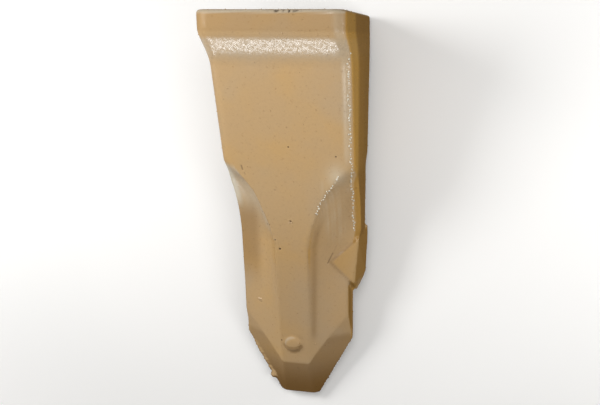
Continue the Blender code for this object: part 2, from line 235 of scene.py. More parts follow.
def edgeHalfWidth(station, side):
    wall = wallHalfWidth(station, side)
    if station <= tooth["scallopStart"]:
        return wall
    share = scallopShare(station, side)
    plain = mix(wall, tooth["noseEdgeHalfWidth"], ease(share))
    besideFeeder = mix(wall, tooth["feederEdge"], ease(share * tooth["feederHurry"]))
    return mix(plain, besideFeeder, feederShare(station, side))


def alongNose(station):
    return clamp((station - tooth["scallopEnd"]) / (tooth["ribEnd"] - tooth["scallopEnd"]))


def edgeHeight(station, side):
    nose = mix(tooth["flankEdgeHeight"], tooth["noseEdgeHeight"], alongNose(station))
    corner = panelHeight(station) - tooth["bodyCorner"]
    return mix(nose, corner, guide(tooth["flankDrop"], scallopShare(station, side)))


def wallHeight(station, side):
    edge = edgeHeight(station, side)
    share = scallopShare(station, side)
    plain = mix(edge * tooth["wallTop"], edge * tooth["noseWallTop"], ease(share))
    feederTop = min(tooth["feederHalfHeight"], edge * tooth["feederWallTop"])
    besideFeeder = mix(edge * tooth["wallTop"], feederTop, ease(share * tooth["feederHurry"]))
    return mix(plain, besideFeeder, feederShare(station, side))


def panelHalfWidth(station, side):
    full = wallHalfWidth(min(station, tooth["scallopStart"]), side) - tooth["bodyCorner"]
    along = alongNose(station)
    rib = mix(tooth["ribHalfWidth"], tooth["ribEndHalfWidth"], along * along)
    rib += side * mix(tooth["ribOffset"], 0, along)
    return mix(rib, full, guide(tooth["panelEdge"], scallopShare(station, side)))


def cubic(start, pullA, pullB, end, t):
    s = 1 - t
    weights = (s**3, 3 * s * s * t, 3 * s * t * t, t**3)
    return tuple(sum(w * p[axis] for w, p in zip(weights, (start, pullA, pullB, end))) for axis in (0, 1))


def blend(pulls, others, share):
    return [tuple(mix(a, b, share) for a, b in zip(one, other)) for one, other in zip(pulls, others)]


def flankCurve(edge, panel, hollow, straight):  # round corner, then scallop, then nearly a chord
    run = edge[0] - panel[0]
    drop = panel[1] - edge[1]

    def pullsBy(edgeIn, edgeUp, panelOut, panelDown):
        return ((edge[0] - edgeIn * run, edge[1] + edgeUp * drop),
                (panel[0] + panelOut * run, panel[1] - panelDown * drop))

    corner = pullsBy(0, tooth["arcPull"], tooth["arcPull"], 0)
    scoop, chord = pullsBy(*tooth["scoopPulls"]), pullsBy(*tooth["chordPulls"])
    pulls = blend(blend(corner, scoop, hollow), chord, straight)
    steps = tooth["flankSteps"]
    return [cubic(edge, pulls[0], pulls[1], panel, step / steps) for step in range(steps + 1)]


def quarterSection(station, side):
    lip = lipShare(station)
    wall = wallHalfWidth(station, side)
    growX = lip * (tooth["collarWidth"] / 2 + side * tooth["collarShift"] - wall)
    growZ = lip * (tooth["collarHeight"] / 2 - panelHeight(station))
    rounder = lip * (tooth["collarCorner"] - tooth["bodyCorner"])
    edge = (edgeHalfWidth(station, side) + growX, edgeHeight(station, side) + growZ - rounder)
    panel = (panelHalfWidth(station, side) + growX - rounder, panelHeight(station) + growZ)
    flat = edge[1] * wallHeight(station, side) / edgeHeight(station, side)
    hollow = ease(scallopShare(station, side) / tooth["scallopSettles"])
    reach = tooth["ribEnd"] - tooth["pointLength"] / 2 - tooth["scallopEnd"]
    straight = ease((station - tooth["scallopEnd"]) / reach)
    crown = tooth["sideCrown"] * (1 - lip)
    steps = tooth["wallSteps"]
    outline = []
    for step in range(steps + 1):
        outline.append((wall + growX + crown * (1 - ease(step / steps)), flat * step / steps))
    flank = flankCurve(edge, panel, hollow, straight)
    if station <= tooth["scallopStart"]:
        outline.append((edge[0], mix(flat, edge[1], tooth["cornerStart"])))
        flank = flank[1:]
    outline += flank
    steps = tooth["panelSteps"]
    outline += [(panel[0] * (1 - step / steps), panel[1]) for step in range(1, steps + 1)]
    return outline


def slanted(x, station, z):  # the rear face and the collar's front lie askew, the back edge is square
    front = ease(z / tooth["collarHeight"] + 0.5)
    atRear = 1 - ease(station / tooth["collarFlat"])
    fade = 1 - ease((station - tooth["collarFlat"]) / (tooth["scallopStart"] - tooth["collarFlat"]))
    return place(x, station + tooth["collarSlant"] * x * fade * mix(front, 1, atRear), z)


def sectionRing(station, inset=0.0):
    right = quarterSection(station, 1)
    left = [(-x, z) for x, z in reversed(quarterSection(station, -1)[:-1])]
    front = right + left
    ring = front + [(x, -z) for x, z in reversed(front[1:-1])]
    shrinkX = 1 - inset / (tooth["collarWidth"] / 2)
    shrinkZ = 1 - inset / (tooth["collarHeight"] / 2)
    return [slanted(x * shrinkX, station, z * shrinkZ) for x, z in ring]


def bridgeRings(mesh, rings):
    made = [[mesh.verts.new(point) for point in ring] for ring in rings]
    for first, second in zip(made, made[1:]):
        for index in range(len(first)):
            after = (index + 1) % len(first)
            mesh.faces.new((first[index], first[after], second[after], second[index]))
    mesh.faces.new(list(reversed(made[0])))
    mesh.faces.new(made[-1])
    bmesh.ops.recalc_face_normals(mesh, faces=mesh.faces)


cutReach = 1e-4  # points this close to a cut lie on it


def cutFlat(mesh, a, b, c, outwards):
    normal = (b - a).cross(c - a).normalized()
    if normal.dot(outwards) < 0:
        normal = -normal
    everything = mesh.verts[:] + mesh.edges[:] + mesh.faces[:]
    cut = bmesh.ops.bisect_plane(mesh, geom=everything, dist=cutReach, plane_co=a, plane_no=normal,
                                 clear_outer=True)
    rim = [item for item in cut["geom_cut"] if isinstance(item, bmesh.types.BMEdge)]
    bmesh.ops.holes_fill(mesh, edges=rim, sides=0)


def cutPoint(mesh):
    facetStart = tooth["length"] - tooth["pointLength"]
    halfRib, ribEnd, height = tooth["ribEndHalfWidth"], tooth["ribEnd"], tooth["ribEndHeight"]
    for face in (1, -1):
        for side in (1, -1):
            shoulder = place(side * tooth["noseHalfWidth"], facetStart, 0)
            tip = place(side * tooth["tipHalfWidth"], tooth["length"], 0)
            corner = place(side * halfRib, ribEnd, face * height)
            cutFlat(mesh, shoulder, tip, corner, Vector((side, 0, face)))
        left, right = (place(side * halfRib, ribEnd, face * height) for side in (-1, 1))
        edge = place(0, tooth["length"], face * tooth["tipHalfThickness"])
        cutFlat(mesh, left, right, edge, Vector((0, 0, face)))


def addObject(name, data):
    item = bpy.data.objects.new(name, data)
    bpy.context.scene.collection.objects.link(item)
    return item


def newObject(name, mesh):
    bmesh.ops.recalc_face_normals(mesh, faces=mesh.faces)
    data = bpy.data.meshes.new(name)
    mesh.to_mesh(data)
    mesh.free()
    return addObject(name, data)


def outsideBody():
    mesh = bmesh.new()
    count = round(tooth["length"] / tooth["stationStep"])
    rings = []
    for step in range(tooth["rimSteps"]):
        bend = math.pi / 2 * step / tooth["rimSteps"]
        inset = tooth["rimRound"] * (1 - math.sin(bend))
        rings.append(sectionRing(tooth["rimRound"] * (1 - math.cos(bend)), inset))
    stations = [mix(tooth["rimRound"], tooth["length"], index / count) for index in range(count + 1)]
    rings += [sectionRing(station) for station in stations]
    bridgeRings(mesh, rings)
    cutPoint(mesh)
    return newObject("bucketTooth", mesh)


def feederStub():
    end = stub["start"] + stub["length"]
    heel = end - stub["heel"]
    brow = stub["start"] + stub["brow"]
    middle = stub["start"] + stub["length"] / 2
    edge, height = stub["edge"], stub["edgeHeight"]
    crown = edge + stub["lean"]
    face, foot, back = (-height * stub[share] for share in ("faceShare", "footShare", "backShare"))
    nose = tooth["noseHalfWidth"]
    corners = (
        (edge, brow, height), (edge - stub["heel"] / 3, heel, height * stub["faceShare"]),
        (stub["apex"], middle, height + stub["rise"]), (crown, stub["start"] + stub["brow"] / 2, face),
        (crown - stub["lean"] / 3, heel - stub["heel"] / 2, face), (edge + stub["footRise"] / 2, heel, face),
        (nose + stub["footRise"], end, foot), (nose + stub["lean"], stub["start"], foot),
        (edge, brow, back), (edge - stub["heel"] / 3, heel, back),
        (stub["apex"], middle, -height - stub["rise"]), (stub["apex"], middle, 0))
    mesh = bmesh.new()
    points = [mesh.verts.new(place(*corner)) for corner in corners]
    bmesh.ops.convex_hull(mesh, input=points)
    bmesh.ops.delete(mesh, geom=[v for v in mesh.verts if not v.link_faces], context="VERTS")
    return newObject("feederStub", mesh)


def roundBar(name, start, end, radius, endRadius, bevel, sides=64):
    axis = end - start
    turn = axis.to_track_quat("Z", "Y").to_matrix()
    rings = []
    for along, size in ((0, radius), (axis.length - bevel, radius), (axis.length, endRadius)):
        angles = [2 * math.pi * (index + 0.5) / sides for index in range(sides)]
        rings.append([start + turn @ Vector((size * math.cos(a), size * math.sin(a), along)) for a in angles])
    mesh = bmesh.new()
    bridgeRings(mesh, rings)
    return newObject(name, mesh)


def testButton():
    slope = (tooth["panelRear"] - tooth["ribEndHeight"]) / tooth["ribEnd"]
    normal = Vector((0, -slope, 1)).normalized()
    seat = place(button["offset"], button["station"], panelHeight(button["station"]))
    radius, chamfer = button["diameter"] / 2, button["chamfer"]
    return roundBar("testButton", seat - normal * button["root"], seat + normal * button["rise"],
                    radius, radius - chamfer, chamfer)


burr = {"x": -35.5, "station": 459, "z": 2, "size": (4.2, 4.0, 3.8), "fineness": 3}


def castBurr():  # lump left on the parting line of the left facet
    mesh = bmesh.new()
    bmesh.ops.create_icosphere(mesh, subdivisions=burr["fineness"], radius=1)
    middle = place(burr["x"], burr["station"], burr["z"])
    mesh.transform(Matrix.Translation(middle) @ Matrix.Diagonal((*burr["size"], 1)))
    return newObject("castBurr", mesh)


def pinBoss():  # low round boss on the left, where the pin goes in
    outer = wallHalfWidth(pin["station"], -1) + tooth["sideCrown"] + pin["rise"]
    radius, skirt = pin["boss"] / 2, 2 * pin["rise"]
    return roundBar("pinBoss", place(socketForm["sideWall"] / 2 - outer, pin["station"], 0),
                    place(-outer, pin["station"], 0), radius, radius - skirt, skirt, pin["bossSides"])


def socketHalfWidth(station):
    mouth = tooth["collarWidth"] / 2 - socketForm["sideWall"]
    return mouth - socketForm["sideTaper"] * min(1.0, station / (socketForm["depth"] - socketForm["land"]))


def socketHalfHeight(station):
    mouth = tooth["collarHeight"] / 2 - socketForm["frontWall"]
    floor = panelHeight(socketForm["depth"]) - socketForm["endWall"]
    shoulder = socketForm["depth"] - socketForm["land"]
    land = floor + socketForm["land"] * socketForm["landTaper"]
    if station < shoulder:
        return mix(mouth, land, station / shoulder)
    return mix(land, floor, (station - shoulder) / socketForm["land"])


def roundedRectangle(halfWidth, halfHeight, corner, station):
    points = []
    steps = socketForm["cornerSteps"]
    for quadrant, (sx, sz) in enumerate(((1, 1), (-1, 1), (-1, -1), (1, -1))):
        for step in range(steps + 1):
            angle = math.pi / 2 * (quadrant + step / steps)
            x = sx * (halfWidth - corner) + corner * math.cos(angle)
            z = sz * (halfHeight - corner) + corner * math.sin(angle)
            points.append(place(x, station, z))
    return points


def socketCutter():
    depth, roundness, steps = socketForm["depth"], socketForm["floorRound"], socketForm["floorSteps"]
    insets = [(-socketForm["overrun"], 0), (0, 0), (depth - socketForm["land"], 0), (depth - roundness, 0)]
    for step in range(1, steps + 1):
        angle = math.pi / 2 * step / steps
        insets.append((depth - roundness * (1 - math.sin(angle)), roundness * (1 - math.cos(angle))))
    rings = []
    for station, inset in insets:
        rings.append(roundedRectangle(socketHalfWidth(station) - inset, socketHalfHeight(station) - inset,
                                      socketForm["corner"] - inset, station))
    mesh = bmesh.new()
    bridgeRings(mesh, rings)
    return newObject("socketCutter", mesh)


def pinCutter():
    start = place(-wallHalfWidth(pin["station"], -1) - pin["cutMargin"], pin["station"], 0)
    end = place(socketHalfWidth(pin["station"]) + pin["seatDepth"], pin["station"], 0)
    radius, chamfer = pin["bore"] / 2, pin["seatChamfer"]
    return roundBar("pinCutter", start, end, radius, radius - chamfer, chamfer)


def evaluatedMesh(item):
    bpy.context.view_layer.update()
    return bpy.data.meshes.new_from_object(item.evaluated_get(bpy.context.evaluated_depsgraph_get()))


def settled(item):  # the evaluated mesh replaces the object's own, and its modifiers go
    data = evaluatedMesh(item)
    item.modifiers.clear()
    old = item.data
    item.data = data
    bpy.data.meshes.remove(old)
    data.name = item.name
    return item


def combine(item, tool, operation):
    change = item.modifiers.new(tool.name, "BOOLEAN")
    change.operation = operation
    change.solver = "MANIFOLD"
    change.object = tool
    settled(item)
    bpy.data.objects.remove(tool)


remesh = {"voxel": 2.08, "smoothing": 0.5, "passes": 2}


def castingShape():
    item = outsideBody()
    for added in (feederStub(), pinBoss(), testButton(), castBurr()):
        combine(item, added, "UNION")
    for removed in (socketCutter(), pinCutter()):
        combine(item, removed, "DIFFERENCE")
    resting = restingPlace(item)
    print("shape: solid of", len(item.data.polygons), "faces")
    skin = item.modifiers.new("skin", "REMESH")
    skin.mode = "VOXEL"
    skin.voxel_size = remesh["voxel"]
    skin.use_smooth_shade = True
    soften = item.modifiers.new("soften", "SMOOTH")
    soften.factor = remesh["smoothing"]
    soften.iterations = remesh["passes"]
    settled(item)
    print("shape: even skin of", len(item.data.polygons), "faces")
    return item, resting


# Marks that the casting has: x and station on the front, radius, height (negative for a pit), rim, painted
# shade in the mark
marks = {
    "rib crater": (5.2, 233.7, 1.5, -0.9, 0.75, 0.6),
    "rib pit": (-9.8, 269.5, 1.3, -1.0, 0.1, 1.0),
    "rib scar": (-15.1, 258.1, 1.1, -0.7, 0.0, 0.8),
    "panel speck": (19.0, 189.9, 1.2, -0.45, 0.1, 0.25),
    "panel dimple": (-10.5, 195.6, 1.4, -0.3, 0.1, 0.35),
    "button speck": (-16.5, 396.0, 1.0, -0.45, 0.1, 0.8),
}
# Rim ring of a mark, and how far the painted shade spreads in marks and rim pits
markForm = {"rimPlace": 1.5, "rimWidth": 0.45, "shadeReach": 0.95, "pitShade": 0.9, "pitShadeReach": 0.9}

# Fine creases on the front: x and station of both ends, half width, depth (negative for a ridge), painted
# shade in and beside the crease
creases = ((42.7, 292.5, 48.5, 280.0, 1.1, 0.55, 0.45), (49.5, 278.0, 54.0, 269.0, 0.8, 0.35, 0.25),
           (-48.0, 167.5, -47.0, 172.0, 1.2, 0.7, 0.5), (-45.3, 175.5, -44.3, 178.0, 0.8, 0.4, 0.4),
           (-10.6, 262.0, -9.6, 270.0, 0.5, 0.3, 0.25),
           (-46.8, 344.8, -43.0, 345.2, 1.0, -1.3, 0.0), (-46.2, 348.0, -42.8, 348.4, 0.7, 0.4, 0.5))

# Pits along the rear rim: x, station, z, radius, depth
rimPits = ((7, 2.2, 99.5, 2.2, 1.0), (10, 1.6, 100.5, 1.8, 1.1), (16, 2.5, 99.0, 2.6, 1.2),
           (22, 1.8, 100.5, 1.8, 0.9), (27, 2.4, 99.5, 2.4, 1.1), (31, 1.6, 100.0, 1.6, 0.8),
           (35, 2.4, 99.8, 1.5, 0.7), (-34, 2.5, 99.5, 1.5, 0.5), (52, 2.5, 99.5, 1.5, 0.6))

# The fin along the parting line of the left facet
flash = {"height": 1.9, "width": 2.6, "from": (408, 422), "to": (460, 468), "uneven": 0.3,
         "fastRipple": 0.9, "slowRipple": 0.37}

refining = {"markReach": 5.5, "creaseReach": 3.5, "creaseStops": (0, 0.25, 0.5, 0.75, 1), "cuts": 2}

# In the dictionaries below a pair is where something starts and where it is complete: a station, a distance
# from an edge, or a part of the surface normal.

zones = {
    "outlineStep": 10, "facesSide": (0.86, 0.97), "onLeftFlank": (-1, 2),
    "stubPeak": 291, "stubRearLean": 1.07, "stubPointLean": 0.88, "stubInset": 1, "onStub": (-0.5, 2),
    "stubFrom": (255, 262), "stubTo": (318, 324),
    "beyondEdge": (0.8, 3), "beyondFrom": (168, 185), "beyondTo": (396, 402),
    "rearRim": (2.6, 4.2), "rearRimTurn": (0.25, 0.5), "rearRimHeight": (80, 88),
    "fillet": (26, 31), "filletTo": (39, 57), "onButton": (9.5, 11),
    "underEdge": (-0.5, 1.5), "scallopFrom": (163, 172), "scallopTo": (205, 245),
}

# Painted shade in the paint's colour, and how much: back and sides, nose sides, point, collar, rib, valley,
# hollow, beside the stub and past the edge
worn = {
    "underTurn": (0.0, 0.2), "back": 0.72, "backFrom": (-46, -22), "side": 0.13,
    "noseSide": 0.42, "noseSideFrom": (372, 392), "collar": 0.30, "collarTo": (20, 24),
    "rib": 0.12, "ribFrom": (190, 300), "beyondEdge": 0.4,
    "stubEdge": 0.32, "stubPlace": 1.5, "stubWidth": 1.6, "stubFrom": (262, 268), "stubTo": (312, 320),
    "valley": 0.36, "valleyPlace": 6, "valleyWidth": 3.4, "valleyFrom": (225, 255), "valleyTo": (380, 400),
    "hollow": 0.42, "hollowSide": (36, 50), "hollowFrom": (205, 240), "hollowTo": (280, 340),
    "point": 0.42, "pointTurn": (0.19, 0.26), "pointFrom": (385, 395),
    "leftTurn": (0.2, 0.4), "leftRelief": 0.3, "tip": 1.0, "tipFrom": (405, 476),
}

# How thick and glossy the coat is
sheen = {
    "plain": 0.22, "scallop": 0.32, "fillet": 1.0, "collar": 0.06, "collarTo": (18, 24), "side": 0.03,
    "rearRim": 0.8, "rearRimEnds": (60, 68), "tip": 0.0, "tipFrom": (330, 395), "button": 0.0, "bead": 0.9,
}

# Painted highlights and reflections, pale in the paint's colour: the left scallop's top, wall and edge, the
# fillet, the rear rim, a corner halo, the right ridge, pale streaks, the button's crescent and the beads
highlightZones = {
    "scallop": 0.34, "fillet": 0.28, "rearRim": 0.75, "bead": 1.0,
    "atWall": 0.85, "wallBand": (-13, -3), "wallTo": (208, 236),
    "belowEdge": 0.34, "edgeBand": (7, 14), "edgeTo": (232, 262),
    "corner": 0.42, "cornerX": 61, "cornerStation": 178, "cornerWidth": 11, "cornerLength": 13,
    "ridge": 0.22, "ridgeTurn": (0.12, 0.35), "ridgeTurnTo": (0.62, 0.86), "ridgeTo": (150, 175),
    "streaks": 0.21, "button": 0.36, "buttonLean": 0.7, "buttonTurn": (0.12, 0.5),
}
streaks = {"side": (38, 46), "sideTo": (58, 68), "from": (172, 195), "to": (245, 275),
           "fine": 1.3, "sway": 0.7, "swayAlong": 0.05, "coarse": 0.41, "shift": 1.2, "level": 0.35,
           "beat": 0.25, "beatAlong": 0.21, "beatAcross": 0.3}

amber = {"wall": 0.75, "stub": 0.3}  # painted lit yellow: a deeper yellow on the side walls and the stub's facet, for how the light falls on them


def smooth(values, change):
    share = np.clip((values - change[0]) / (change[1] - change[0]), 0, 1)
    return share * share * (3 - 2 * share)


def between(values, rise, fall):
    return smooth(values, rise) * (1 - smooth(values, fall))


def bell(away):
    return np.exp(-away**2)


def plateau(away):
    return np.exp(-away**4)


def refineNear(item):  # finer faces under the small marks
    mesh = bmesh.new()
    mesh.from_mesh(item.data)
    spots = [(mark[0], mark[1], refining["markReach"]) for mark in marks.values()]
    spots.append((button["offset"], button["station"], button["diameter"] / 2 + button["margin"]))
    for x, station, endX, endStation, *_ in creases:
        for share in refining["creaseStops"]:
            spots.append((mix(x, endX, share), mix(station, endStation, share), refining["creaseReach"]))
    near = set()
    for face in mesh.faces:
        centre = face.calc_center_median()
        if centre.z > 0 and any(math.hypot(centre.x - x, centre.y + y) < wide for x, y, wide in spots):
            near.update(face.edges)
    bmesh.ops.subdivide_edges(mesh, edges=list(near), cuts=refining["cuts"], use_grid_fill=True)
    bmesh.ops.triangulate(mesh, faces=[face for face in mesh.faces if len(face.verts) > 4])
    mesh.to_mesh(item.data)
    mesh.free()


def pointsOf(item):
    count = len(item.data.vertices)
    places, normals = np.empty(count * 3), np.empty(count * 3)
    item.data.vertices.foreach_get("co", places)
    item.data.vertex_normals.foreach_get("vector", normals)
    return places.reshape(-1, 3), normals.reshape(-1, 3)


def movePoints(item, places):
    item.data.vertices.foreach_set("co", places.ravel())
    item.data.update()


def writeField(item, name, values):
    layer = item.data.attributes.new(name, "FLOAT", "POINT")
    layer.data.foreach_set("value", values.astype(np.float32))


class Skin:  # a piece's points, and where they lie on the tooth
    def __init__(self, item):
        self.places, self.normals = pointsOf(item)
        self.x, self.station, self.z = self.places[:, 0], -self.places[:, 1], self.places[:, 2]
        self.front = self.z > 0
        askew = 1 - smooth(self.station, (tooth["collarFlat"], tooth["scallopStart"]))
        self.fromRear = self.station - tooth["collarSlant"] * self.x * askew
        self.facesSide = smooth(np.abs(self.normals[:, 0]), zones["facesSide"])
        fromPeak = self.station - zones["stubPeak"]
        lean = np.where(fromPeak < 0, zones["stubRearLean"], zones["stubPointLean"])
        self.pastStub = self.x - stub["apex"] - zones["stubInset"] - lean * np.abs(fromPeak)
        self.onStub = smooth(self.pastStub, zones["onStub"]) * self.front
        self.onStub = self.onStub * between(self.station, zones["stubFrom"], zones["stubTo"])
        self.beyondEdge = smooth(self.x - self.outline(edgeHalfWidth, 1), zones["beyondEdge"]) * self.front
        self.beyondEdge *= between(self.station, zones["beyondFrom"], zones["beyondTo"]) * (1 - self.onStub)
        self.pastPanel = -self.x - self.outline(panelHalfWidth, -1)
        self.rearRim = (1 - smooth(self.fromRear, zones["rearRim"])) * smooth(self.z, zones["rearRimHeight"])
        self.rearRim *= smooth(self.normals[:, 2], zones["rearRimTurn"])
        self.fillet = between(self.fromRear, zones["fillet"], zones["filletTo"])
        fromButton = np.hypot(self.x - button["offset"], self.station - button["station"])
        self.onButton = 1 - smooth(fromButton, zones["onButton"])
        self.leftScallop = smooth(self.pastPanel, zones["underEdge"]) * self.front
        self.leftScallop = self.leftScallop * smooth(self.station, zones["scallopFrom"])
        self.scallopTop = self.leftScallop * (1 - smooth(self.station, zones["scallopTo"]))

    def outline(self, halfWidth, side):  # how far out the panel, edge or wall is beside each point
        stations = list(range(0, tooth["length"] + 1, zones["outlineStep"]))
        return np.interp(self.station, stations, [halfWidth(station, side) for station in stations])


def paintedShadeField(skin):
    # All of these shares are painted shade, darkening the paint where the light falls off
    away = np.maximum(skin.facesSide, smooth(-skin.normals[:, 2], worn["underTurn"]))
    behind = np.maximum(smooth(-skin.z, worn["backFrom"]) * worn["back"], worn["side"]) * away
    noseSide = skin.facesSide * smooth(skin.station, worn["noseSideFrom"]) * worn["noseSide"]
    besideStub = bell((skin.pastStub + worn["stubPlace"]) / worn["stubWidth"]) * skin.front * worn["stubEdge"]
    besideStub *= between(skin.station, worn["stubFrom"], worn["stubTo"])
    pastRib = skin.x - skin.outline(panelHalfWidth, 1)
    valley = bell((pastRib - worn["valleyPlace"]) / worn["valleyWidth"]) * skin.front * worn["valley"]
    valley *= between(skin.station, worn["valleyFrom"], worn["valleyTo"])
    hollow = smooth(-skin.x, worn["hollowSide"]) * worn["hollow"]
    hollow *= between(skin.station, worn["hollowFrom"], worn["hollowTo"])
    onPoint = smooth(-skin.normals[:, 1], worn["pointTurn"]) * smooth(skin.station, worn["pointFrom"])
    # The left facet takes less painted shade than the right, as the light comes from the left
    start = worn["point"] * (1 - smooth(-skin.normals[:, 0], worn["leftTurn"]) * worn["leftRelief"])
    point = onPoint * (start + (worn["tip"] - start) * smooth(skin.station, worn["tipFrom"]))
    collar = (1 - smooth(skin.fromRear, worn["collarTo"])) * worn["collar"]
    offLeftFlank = 1 - smooth(skin.pastPanel, zones["onLeftFlank"]) * skin.front
    rib = smooth(skin.station, worn["ribFrom"]) * worn["rib"] * offLeftFlank
    beyondEdge = skin.beyondEdge * worn["beyondEdge"]
    kept = 1.0
    for share in (np.maximum(behind, noseSide), point, collar, rib, valley, hollow, besideStub, beyondEdge):
        kept = kept * (1 - share)
    return 1 - kept


def glossField(skin):
    shares = {
        "scallop": skin.scallopTop, "fillet": skin.fillet,
        "collar": 1 - smooth(skin.fromRear, sheen["collarTo"]), "side": skin.facesSide,
        "rearRim": skin.rearRim * (1 - smooth(np.abs(skin.x), sheen["rearRimEnds"])),
        "tip": smooth(skin.station, sheen["tipFrom"]), "button": skin.onButton,
    }
    gloss = np.full(len(skin.x), sheen["plain"])
    for name, share in shares.items():
        gloss += (sheen[name] - gloss) * share
    return gloss


def streakField(skin):  # pale streaks down the right scallop, part of the painted highlight
    sway = streaks["sway"] * np.sin(skin.station * streaks["swayAlong"])
    waves = np.sin(skin.x * streaks["fine"] + sway) * np.sin(skin.x * streaks["coarse"] + streaks["shift"])
    beat = np.sin(skin.station * streaks["beatAlong"] + skin.x * streaks["beatAcross"])
    beat = 1 - streaks["beat"] + streaks["beat"] * beat
    runs = np.clip(waves + streaks["level"], 0, 1) * beat
    runs *= between(skin.x, streaks["side"], streaks["sideTo"]) * skin.front
    return runs * between(skin.station, streaks["from"], streaks["to"])


def highlightField(skin):
    fromWall = -skin.x - skin.outline(edgeHalfWidth, -1)
    atWall = skin.leftScallop * smooth(fromWall, highlightZones["wallBand"])
    belowEdge = skin.leftScallop * (1 - smooth(skin.pastPanel, highlightZones["edgeBand"]))
    corner = bell((skin.x - highlightZones["cornerX"]) / highlightZones["cornerWidth"])
    corner *= bell((skin.station - highlightZones["cornerStation"]) / highlightZones["cornerLength"])
    ridge = between(skin.normals[:, 0], highlightZones["ridgeTurn"], highlightZones["ridgeTurnTo"])
    towardsLight = (skin.normals[:, 1] - skin.normals[:, 0]) * highlightZones["buttonLean"]
    shares = {
        "scallop": skin.scallopTop, "fillet": skin.fillet, "rearRim": skin.rearRim,
        "atWall": atWall * (1 - smooth(skin.station, highlightZones["wallTo"])),
        "belowEdge": belowEdge * (1 - smooth(skin.station, highlightZones["edgeTo"])),
        "corner": corner * skin.front, "streaks": streakField(skin),
        "ridge": ridge * (1 - smooth(skin.station, highlightZones["ridgeTo"])),
        "button": skin.onButton * smooth(towardsLight, highlightZones["buttonTurn"]),
    }
    return np.maximum.reduce([share * highlightZones[name] for name, share in shares.items()])


def coatFields(item, bead=False):  # painted shade, gloss, painted highlight and painted lit yellow at each point
    skin = Skin(item)
    writeField(item, "worn", paintedShadeField(skin))
    writeField(item, "gloss", np.maximum(glossField(skin), sheen["bead"] if bead else 0.0))
    writeField(item, "bloom", np.maximum(highlightField(skin), highlightZones["bead"] if bead else 0.0))
    wall = np.maximum(skin.facesSide, skin.beyondEdge) * amber["wall"]
    writeField(item, "amber", np.maximum(wall, skin.onStub * amber["stub"]))


def pressMarks(item):
    places, normals = pointsOf(item)
    x, stations, z = places[:, 0], -places[:, 1], places[:, 2]
    lift, dirt = np.zeros(len(places)), np.zeros(len(places))
    front = z > 0
    # Each mark dents or lifts the skin, with painted shade in it
    for markX, station, radius, height, rim, darkening in marks.values():
        away = np.hypot(x - markX, stations - station) / radius
        ring = bell((away - markForm["rimPlace"]) / markForm["rimWidth"])
        lift += front * (height * bell(away) + rim * ring)
        dirt = np.maximum(dirt, front * darkening * plateau(away / markForm["shadeReach"]))
    away = np.hypot(x - button["offset"], stations - button["station"])
    radius = button["diameter"] / 2
    lift += front * button["lift"] * (1 - smooth(away - radius, button["shoulder"]))
    lift += front * button["dome"] * np.clip(1 - (away / radius) ** 2, 0, 1)
    # Each crease dents or lifts the skin, with painted shade along it
    for startX, station, endX, endStation, width, depth, darkening in creases:
        run = np.array((endX - startX, endStation - station))
        offset = np.stack((x - startX, stations - station), axis=1)
        share = np.clip(offset @ run / (run @ run), 0, 1)
        away = np.linalg.norm(offset - share[:, None] * run, axis=1) / width
        lift -= front * depth * bell(away)
        dirt = np.maximum(dirt, front * darkening * bell(away))
    # Each rim pit dents the skin, with painted shade in it
    for pitX, station, pitZ, radius, depth in rimPits:
        spot = np.array(place(pitX, station + tooth["collarSlant"] * pitX, pitZ))
        away = np.linalg.norm(places - spot, axis=1) / radius
        lift -= depth * bell(away)
        dirt = np.maximum(dirt, markForm["pitShade"] * plateau(away / markForm["pitShadeReach"]))
    ripple = np.sin(stations * flash["fastRipple"]) * np.sin(stations * flash["slowRipple"])
    uneven = 1 - flash["uneven"] + flash["uneven"] * ripple
    fin = between(stations, flash["from"], flash["to"]) * uneven * bell(z / flash["width"])
    lift += (x < 0) * flash["height"] * fin
    movePoints(item, places + normals * lift[:, None])
    # The painted shade in the pits, creases and rim pits
    writeField(item, "dirt", dirt)
    coatFields(item)


# Geometry trees: each has its sizes as named inputs, and ends in Realize Instances and Set Material

socketKinds = {"Casting": "Object", "Paint": "Material", "Seed": "Int", "Fineness": "Int"}  # others: Float


def startTree(name, inputs):
    tree = bpy.data.node_groups.new(name, "GeometryNodeTree")
    tree.interface.new_socket("Geometry", in_out="INPUT", socket_type="NodeSocketGeometry")
    for label in inputs:
        kind = "NodeSocket" + socketKinds.get(label, "Float")
        tree.interface.new_socket(label, in_out="INPUT", socket_type=kind)
    tree.interface.new_socket("Geometry", in_out="OUTPUT", socket_type="NodeSocketGeometry")
    graph = Graph(tree)
    entry = tree.nodes.new("NodeGroupInput")
    return graph, {socket.name: Wire(graph, socket) for socket in entry.outputs if socket.name}


def endTree(graph, geometry, paintInput):
    single = graph.node("GeometryNodeRealizeInstances", {}, {"Geometry": geometry})
    painted = graph.node("GeometryNodeSetMaterial", {}, {"Geometry": single, "Material": paintInput})
    graph.node("NodeGroupOutput", {}, {0: painted})
    return graph.tree


def addTree(item, tree, inputs):
    change = item.modifiers.new(tree.name, "NODES")
    change.node_group = tree
    for socket in tree.interface.items_tree:
        if socket.in_out == "INPUT" and socket.name in inputs:
            change[socket.identifier] = inputs[socket.name]


# Cast surface: slow waves and sand grain along the normal

castSurface = {"Wave Height": 0.5, "Wave Size": 34.0, "Grain Height": 0.15, "Grain Size": 3.6, "Detail": 3.0}


